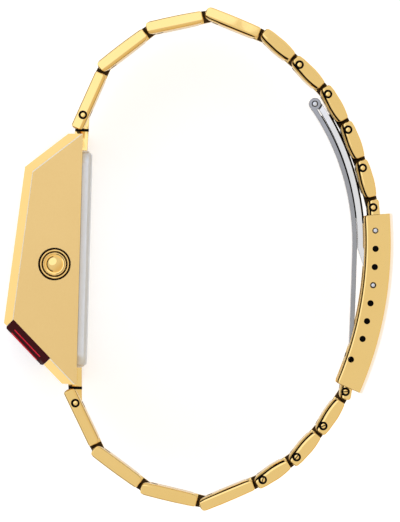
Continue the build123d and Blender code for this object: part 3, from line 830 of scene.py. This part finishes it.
def link_weight(edge, far, reach, length, roll, near_corner):
    """How far an edge of a link is rounded, as a share of the tongue's rounding."""
    place = middle(edge)
    flat = len(edge.link_faces) == 2 and edge.calc_face_angle(0) < math.radians(20)
    inner = place.y < near - half_thickness
    at_end = place.x < near - reach or abs(place.x - far) < near
    flank = abs(place.z) > tongue_half_width + flank_room and not along(edge, 1) and not along(edge, 2)
    in_fork = abs(abs(place.z) - fork_half_width) < near and place.x < fork_floor
    if flat or in_fork:
        size = 0
    elif abs(place.x - length - half_thickness) < near and along(edge, 2):
        size = tongue_round
    elif at_end and along(edge, 2):
        outer = near_corner if place.x < 0 else outer_corner
        size = corner_round if inner else outer
    elif inner and flank:
        size = roll
    elif flank or at_end:
        size = outer_break
    else:
        size = small_break
    return size / tongue_round


# %% [markdown]
# ## The pins
# Each link turns on a pin through its ears. Where the ends show, there is a fine dark ring round a small
# polished head. The ring is real: a shallow hole is sunk into the link, its wall painted black as painted
# shade, and the head sits in it with a little room. On the last four links before the clasp, at 6 o'clock,
# the heads are slotted like screws, and the slots are painted black as painted shade.

# %% Pin maker
ring_radius = 0.70 * mm
ring_depth = 0.40 * mm
head_radius = 0.42 * mm
head_sink = 0.02 * mm
head_break = 0.14 * mm
slot_width = 0.16 * mm
slot_depth = 0.10 * mm


def rod(name, radius, low, high, sides=40):
    """A plain cylinder along Z, in object mode."""
    bpy.ops.mesh.primitive_cylinder_add(
        vertices=sides, radius=radius, depth=high - low, location=(0, 0, (low + high) / 2)
    )
    piece = begin(name)
    close_mesh()
    return piece


def sink_pins(link, half_width):
    """Sinks the shallow hole for a pin's head into both ears."""
    for side in (1, -1):
        low, high = sorted((side * (half_width - ring_depth), side * (half_width + mm)))
        cut(link, rod("ring", ring_radius, low, high))


def make_heads(name, half_width, slotted, turn):
    """The two heads of a pin, as one piece with a head in each ear."""
    heads = []
    for side in (1, -1):
        low, high = sorted((side * (half_width - ring_depth - head_sink), side * (half_width - head_sink)))
        head = rod(name, head_radius, low, high)
        bevel(head, head_break, 4, 60)
        if slotted:
            bpy.ops.mesh.primitive_cube_add(
                size=1,
                location=(0, 0, side * (half_width - head_sink)),
                rotation=(0, 0, turn),
                scale=(slot_width, 3 * head_radius, 2 * slot_depth),
            )
            slot_cutter = begin("slot")
            close_mesh()
            cut(head, slot_cutter)
        heads.append(head)
    work_on(heads[0])
    heads[1].select_set(True)
    bpy.ops.object.join()
    smooth(heads[0])
    return heads[0]


# %% Bracelet maker
seen_pins = {"upper": (1, 6, 7, 8, 9, 10), "lower": (1, 5, 6, 7, 8)}
slotted_pins = {"upper": (), "lower": (5, 6, 7, 8)}
long_links = 4
shortest_bowed = 5.5 * mm
long_crown, short_crown = 0.10 * mm, 0.30 * mm
long_belly, short_belly = 0.06 * mm, 0.24 * mm
flat_area, broad_area = 0.5 * mm * mm, mm * mm
on_wall = 1.02
in_slot, in_head = 0.3, 0.8
first_turn, next_turn = 0.5, 0.7


def slot_faces(heads, top):
    """The faces of the slots in a pin's two heads, below the heads' tops, which get painted shade."""
    low, high, far = top - slot_depth - near, top - in_slot * slot_depth, in_head * head_radius
    return faces_where(heads, lambda face: low < abs(face.center.z) < high and face.center.xy.length < far)


def shaded_recess_faces(link, far):
    """The faces of a link inside its fork, beside its tongue and at its ends, where shade falls and which
    get painted shade.
    """

    def gets_painted_shade(face):
        place, normal = face.center, face.normal
        past_body = place.x < fork_floor or place.x > far
        on_side = abs(normal.z) > 0.5 and abs(place.z) < fork_half_width + near and past_body
        on_floor = normal.x < -0.5 and abs(place.z) < fork_half_width
        return on_side or on_floor or abs(normal.x) > 0.95 and face.area > flat_area

    return faces_where(link, gets_painted_shade)


def ring_faces(link, half_width):
    """The faces of the shallow holes round the heads in a link's two ears, which get painted shade."""
    corners, wall, bottom = link.data.vertices, on_wall * ring_radius, half_width - ring_depth - near
    return {
        face.index
        for face in link.data.polygons
        if abs(face.center.z) > bottom
        and all(corners[corner].co.xy.length < wall for corner in face.vertices)
    }


def make_bracelet(prefix, hinges, side):
    """All links of one half of the bracelet, each from one hinge to the next, with their pins."""
    lengths = [(after - before).length for before, after in zip(hinges, hinges[1:])]
    slope = (width_at_clasp - width_at_case) / sum(lengths)
    done = 0
    for index, (before, after) in enumerate(zip(hinges, hinges[1:]), start=1):
        length = (after - before).length
        run = (after - before).normalized()
        outward = Vector((-run.y, run.x, 0)) * side
        reach = first_ear_reach if index == 1 else ear_reach
        full_end = prefix == "upper" and index == upper_count
        pin_width = width_at_case + slope * done
        widths = pin_width - slope * reach, pin_width + slope * (length - ear_reach)
        short = index > long_links
        crown, belly = (short_crown, short_belly) if short else (long_crown, long_belly)
        if index == 1 or length < shortest_bowed:
            crown = belly = 0
        near_corner = corner_round if 1 < index <= long_links else outer_corner
        roll = short_roll if short else long_roll
        far = length + half_thickness if full_end else length - ear_reach - link_end_gap
        body, name = f"{prefix}_{index}", f"{prefix}_plate_{index}"
        link = make_link(name, length, far, widths, reach, crown, belly, roll, near_corner, full_end)
        seen = index in seen_pins[prefix]
        if seen:
            sink_pins(link, pin_width / 2)
            slotted = index in slotted_pins[prefix]
            turn = first_turn + next_turn * index
            heads = make_heads(f"{prefix}_pin_{index}", pin_width / 2, slotted, turn)
            sunk = slot_faces(heads, pin_width / 2 - head_sink)
            lay(heads, before, run, outward)
            finish_as(heads, body, "gold_polished", gold_polished, painted_shade_black)
            # Painted shade: the slots in the heads get near-black.
            paint(heads, 1, sunk)
        smooth(link, 35)
        # Painted shade: the faces in the fork, beside the tongue and at the ends get near-black gold.
        recess_shade_faces = shaded_recess_faces(link, far)
        # Painted shade: the walls of the holes round the pin heads get near-black.
        ring_shade_faces = ring_faces(link, pin_width / 2) if seen else set()
        lay(link, before, run, outward)
        metals = (gold_polished, gold_brushed, gold_painted_shade, painted_shade_black)
        finish_as(link, body, "gold_brushed", *metals, stands_for=[f"{prefix}_link_{index}"])
        flat = faces_where(link, lambda face: abs(face.normal @ outward) > 0.99 and face.area > broad_area)
        for metal_index, faces in enumerate((flat, recess_shade_faces, ring_shade_faces), start=1):
            paint(link, metal_index, faces)
        done += length
    print(prefix, "bracelet:", len(lengths), "links,", round(done / mm, 1), "mm long")


make_bracelet("upper", upper_hinges, 1)
make_bracelet("lower", lower_hinges, -1)

# %% [markdown]
# ## The clasp's cover
# The cover is a channel of sheet, bent to the wrist's curve, with a row of holes in its two flanges. The
# bar at the bracelet's end sits in one of them and moves to another to change its length. The section is
# drawn point by point, filled, and spun through the cover's angle. Rods then cut the holes, which makes
# them rounder than in the plain solid. Where a bar lies, the rod goes through both flanges. An empty hole
# is in shade and looks black, so there it stops a little way in, and all the holes' walls are painted black
# as painted shade.

# %% Cover's place
cover_radius = 60.0 * mm
hole_circle = 57.6 * mm
flange_edge = 55.8 * mm
cover_half_width = 9.0 * mm
cover_inside = 8.2 * mm
cover_crown = 0.59 * mm
cover_plate = 0.8 * mm
hole_pitch = 2.9 * mm
hole_count = 7
hole_radius = 0.5 * mm
top_inset = 2.55 * mm
latch_distance = 21.1 * mm
low_inset = 4.4 * mm

top_hole, hinge_hole = joint_at["adjuster_hinge"], joint_at["clasp_fold"]
chord = hinge_hole - top_hole
square_off = Vector((chord.y, -chord.x, 0)).normalized()
square_length = math.sqrt(hole_circle**2 - (chord.length / 2) ** 2)
cover_centre = (top_hole + hinge_hole) / 2 + square_off * square_length
top_turn = math.atan2(top_hole.y - cover_centre.y, top_hole.x - cover_centre.x)
start_turn = top_turn + top_inset / hole_circle
end_turn = top_turn - (latch_distance + low_inset) / hole_circle
cover_centre.z = case_middle.z
print("cover's centre in mm:", [round(c / mm, 1) for c in cover_centre])

# %% Cover
cover_steps = 48
section = [(flange_edge, cover_half_width), (cover_radius, cover_half_width)]
section += [
    (cover_radius + cover_crown * (1 - share**2), cover_half_width * share)
    for share in (0.75, 0.5, 0.25, 0, -0.25, -0.5, -0.75)
]
section += [
    (cover_radius, -cover_half_width),
    (flange_edge, -cover_half_width),
    (flange_edge, -cover_inside),
    (cover_radius - cover_plate, -cover_inside),
    (cover_radius - cover_plate, cover_inside),
    (flange_edge, cover_inside),
]
cover = draw_section("clasp_channel", section)
bpy.ops.mesh.edge_face_add()
bpy.ops.mesh.spin(steps=cover_steps, angle=end_turn - start_turn, center=(0, 0, 0), axis=(0, 0, -1))
take_all()
bpy.ops.mesh.normals_make_consistent(inside=False)
print("cover spun through degrees:", round(math.degrees(start_turn - end_turn), 1))


# %% Cover's edges
flange_corner = 0.80 * mm
flange_roll = 0.62 * mm
cover_break = 0.12 * mm
rim_room = 0.02 * mm


def cover_weight(edge):
    """How far an edge of the cover is rounded, as a share of the flanges' corners."""
    place = middle(edge)
    at_rim = abs(place.xy.length - flange_edge) < rim_room
    if edge.calc_face_angle(0) < math.radians(20):
        return 0
    if at_rim and along(edge, 2):
        return 1
    rolled = at_rim and abs(place.z) > cover_half_width - near
    return (flange_roll if rolled else cover_break) / flange_corner


weigh(cover, cover_weight)
close_mesh()
apply(cover, "BEVEL", width=flange_corner, **weighed)
start_heading = Vector((math.cos(start_turn), math.sin(start_turn), 0))
lay(cover, cover_centre, start_heading, Vector((-start_heading.y, start_heading.x, 0)))

# %% Holes
blind_depth = 0.6 * mm
hole_turns = [top_turn - index * hole_pitch / hole_circle for index in range(hole_count)]
hole_places = [
    cover_centre + hole_circle * Vector((math.cos(turn), math.sin(turn), 0)) for turn in hole_turns
]
latch_hole = joint_at["latch_hinge"].copy()
latch_hole.z = case_middle.z
hole_places.append(latch_hole)
barred = (top_hole, hinge_hole, latch_hole)
for place in hole_places:
    if any((place - bar_place).xy.length < hole_radius for bar_place in barred):
        reaches = [(-2 * cover_half_width, 2 * cover_half_width)]
    else:
        bottom = cover_half_width - blind_depth
        reaches = [(bottom, 2 * cover_half_width), (-2 * cover_half_width, -bottom)]
    for low, high in reaches:
        drill = rod("drill", hole_radius, low, high)
        lay(drill, place)
        cut(cover, drill)
smooth(cover)


def in_a_hole(face):
    """Whether every corner of a face lies on a hole's wall."""
    corners = [cover.data.vertices[corner].co for corner in face.vertices]
    wall = on_wall * hole_radius
    return any(all((corner - place).xy.length < wall for corner in corners) for place in hole_places)


# Painted shade: the holes' walls and blind floors get near-black.
hole_shade_faces = faces_where(cover, in_a_hole)
finish_as(cover, "clasp_cover", "gold_brushed", gold_polished, painted_shade_black, stands_for=["clasp_cover"])
paint(cover, 1, hole_shade_faces)
print("cover has", len(hole_places), "holes, black faces in them:", len(hole_shade_faces))

# %% Bars
bar_break = 0.12 * mm
tip_radius = 0.33 * mm
tip_start = 0.78 * mm
inner_tip_share = 0.8
for node, body, name in (
    ("adjuster_bar", "clasp_cover", "spring_bar"),
    ("cover_hinge_pin", "clasp_cover", "hinge_rod"),
    ("fold_hinge_pin", "inner_blade", "fold_rod"),
    ("latch_bar", "inner_blade", "latch_rod"),
):
    bar_low, bar_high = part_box(node)
    bar_radius = (bar_high.x - bar_low.x) / 2
    tip = tip_radius if body == "clasp_cover" else inner_tip_share * bar_radius
    shoulder = bar_low.z + tip_start
    bar_section = [(0, bar_low.z), (tip, bar_low.z), (tip, shoulder), (bar_radius, shoulder)]
    bar_section += [(radius, bar_low.z + bar_high.z - height) for radius, height in reversed(bar_section)]
    bar = turned(name, bar_section, steps=40)
    bevel(bar, bar_break, 3, 60)
    smooth(bar)
    lay(bar, axis_of(bar_low, bar_high))
    finish_as(bar, body, "steel_polished", steel_brushed, painted_shade_black, stands_for=[node])
    # Painted shade: the latch bar's flat ends, deep in their holes, get near-black.
    if node == "latch_bar":
        paint(bar, 1, faces_where(bar, lambda face: abs(face.normal.z) > 0.5))

# %% [markdown]
# ## The blades
# Two strips of spring steel fold under the cover. They are cut from sheet, so their edges are only broken.
# The CAD solids already have the right curves, so copies of them get that edge. The inner blade is duller.
# No light gets between a blade and what it lies against, so that side gets a thin raised strip painted
# black as painted shade, and the edge that faces the joint between the two is painted black as shade.

# %% Blades
blade_round = 0.24 * mm
shade_strip_start = top_hole.y + 1.5 * mm
shade_strip_end = joint_at["blade_fold"].y - 2.0 * mm
joint_low = 0.0
blades = {"outer_blade": (steel_polished, 0.28 * mm, -1), "inner_blade": (steel_dull, 0.12 * mm, 1)}


def lies_against(face):
    """Whether a face is a blade's outer side, between the ends of the strip of painted shade."""
    outward, place = abs(face.normal.z) < 0.1 and face.normal.x > 0.5, face.calc_center_median().y
    return outward and shade_strip_start < place < shade_strip_end and face.calc_area() > flat_area


def at_joint(face, side):
    """Whether a face is on a blade's edge towards the joint between the two, which is painted black as
    shade.
    """
    return 0.1 < abs(face.normal.z) < 0.97 and face.normal.x * side > 0.15 and face.center.y > joint_low


for node, (blade_steel, shade_strip_thickness, joint_side) in blades.items():
    blade = copy_of(node, f"{node}_strip")
    soften(blade, blade_round, segments=3, degrees=40)
    open_mesh()
    lined = choose(blade, "FACE", lies_against)
    bpy.ops.mesh.extrude_region_shrink_fatten(TRANSFORM_OT_shrink_fatten={"value": shade_strip_thickness})
    bpy.ops.mesh.select_more()
    close_mesh()
    # Painted shade: the raised strip and the edge towards the joint get near-black.
    shaded = faces_where(blade, lambda face: face.select or at_joint(face, joint_side))
    finish_as(blade, node, "steel_brushed", blade_steel, painted_shade_black, stands_for=[node])
    paint(blade, 1, shaded)
    print(node, "lined faces:", lined, "black faces:", len(shaded))
print("blades in place")

# %% [markdown]
# ## Floor
# The picture's background is plain white. A floor under the watch takes its shadow. What the camera, metal
# and glass see of it is lifted with a little light of its own, which no lamp has to supply.


# %% Floor
def calculate(nodes, wire, operation, *values):
    """A value worked out from others. Each of them is a number or a node's output."""
    step = add_node(nodes, "Math", operation=operation)
    for entry, value in zip(step.inputs, values):
        if isinstance(value, float):
            entry.default_value = value
        else:
            wire(value, entry)
    return step.outputs[0]


floor_half = 1.5
floor_gap = 0.1 * mm
seen_lift = {"Is Camera Ray": 0.48, "Is Glossy Ray": 0.32, "Is Transmission Ray": 0.32}
bpy.ops.mesh.primitive_plane_add(size=2 * floor_half, location=(0, 0, cad_low.z - floor_gap))
floor = begin("floor")
close_mesh()
paper = bpy.data.materials.new("white paper")
paper.use_nodes = True
nodes, wire = paper.node_tree.nodes, paper.node_tree.links.new
diffuse = nodes["Principled BSDF"]
fill(diffuse, {"Base Color": (0.86, 0.86, 0.86, 1), "Roughness": 0.9, "Specular IOR Level": 0.0})
rays, lift, lifted = (add_node(nodes, kind) for kind in ("LightPath", "Emission", "AddShader"))
strength = 0.0
for kind, share in seen_lift.items():
    strength = calculate(nodes, wire, "MULTIPLY_ADD", rays.outputs[kind], share, strength)
wire(strength, lift.inputs["Strength"])
wire(diffuse.outputs["BSDF"], lifted.inputs[0])
wire(lift.outputs["Emission"], lifted.inputs[1])
wire(lifted.outputs["Shader"], nodes["Material Output"].inputs["Surface"])
floor.data.materials.append(paper)
print("floor laid")

# %% [markdown]
# ## Light
# Polished gold shows the studio rather than itself. A white room would make it flat, so one side of the
# room is dark, as if a black cloth hung there: it draws the thin black lines along the rolled edges. The
# dark side is only in the reflections, and so is a warmer tone on the side away from the lamp. The lamp is
# large, soft and a little blue. It hangs above, towards 12 o'clock and the case, so the metal there is
# paler than round the clasp. Beyond the floor the camera sees plain white.

# %% World
cloth_edge, cloth_top = (-0.03, -0.22), (0.82, 0.66)
room_light, cloth_light = 0.88, 0.004
away_from_lamp, warm_edge = (0.7, -0.7, 0), (0.0, 0.7)
world = bpy.data.worlds.new("studio")
bpy.context.scene.world = world
world.use_nodes = True
nodes, wire = world.node_tree.nodes, world.node_tree.links.new
sky = nodes["Background"]
coordinates, parts = add_node(nodes, "TexCoord"), add_node(nodes, "SeparateXYZ")
wire(coordinates.outputs["Generated"], parts.inputs[0])


def ramp(source, low, high, start=0.0, end=1.0):
    """A smooth step of a value between two limits."""
    return spread(nodes, wire, source, low, high, start, end, "SMOOTHSTEP")


def product(first, second):
    """The product of two values."""
    return calculate(nodes, wire, "MULTIPLY", first, second)


dark_side = product(ramp(parts.outputs["X"], *cloth_edge), ramp(parts.outputs["Z"], *cloth_top))
rays = add_node(nodes, "LightPath")
dark_seen = product(dark_side, rays.outputs["Is Glossy Ray"])
brightness = ramp(dark_seen, 0.0, 1.0, room_light, cloth_light)
behind = calculate(nodes, wire, "MAXIMUM", brightness, rays.outputs["Is Camera Ray"])
wire(behind, sky.inputs["Strength"])
slant = add_node(nodes, "VectorMath", operation="DOT_PRODUCT")
slant.inputs[1].default_value = away_from_lamp
wire(coordinates.outputs["Generated"], slant.inputs[0])
far_from_lamp = product(ramp(slant.outputs["Value"], *warm_edge), rays.outputs["Is Glossy Ray"])
wire(mixed(nodes, wire, far_from_lamp, (1, 1, 1), (0.92, 0.80, 0.62)), sky.inputs["Color"])

# %% Lamp
lamp_data = bpy.data.lights.new("large soft lamp", "AREA")
lamp_data.shape = "DISK"
lamp_data.size = 0.28
lamp_data.energy = 0.10
lamp_data.color = (0.80, 0.94, 1.34)
lamp = add_object("large soft lamp", lamp_data)
lamp.location = (-0.10, 0.10, 0.32)
print("world and lamp ready")

# %% [markdown]
# ## Camera
# The picture was taken from far away with a long lens, so the flanks of the links show no perspective. The
# camera looks straight down, turned by a degree and a half as the watch lies in the picture, and its lens
# makes one millimetre on the case's flank 6.3 pixels of the 522 pixels that the picture is high.

# %% Camera
pixels_per_mm = 6.3
picture_height = 522
camera_distance = 2.5
roll = math.radians(1.5)
aim_offset = Vector((19.081 * mm, 0.1825 * mm, 0))
flank_depth = 4 * mm
aim = case_middle + aim_offset
aim.z = cad_high.z - flank_depth
seen_height = picture_height / pixels_per_mm * mm
camera_data = bpy.data.cameras.new("camera")
camera = add_object("camera", camera_data)
camera_data.clip_end = 2 * camera_distance
camera_data.lens = camera_data.sensor_width * camera_distance / seen_height
camera.location = aim + Vector((0, 0, camera_distance))
camera.rotation_euler = (0, 0, roll)
bpy.context.scene.camera = camera
bpy.context.scene.view_settings.view_transform = "Standard"
print("lens in mm:", round(camera_data.lens))
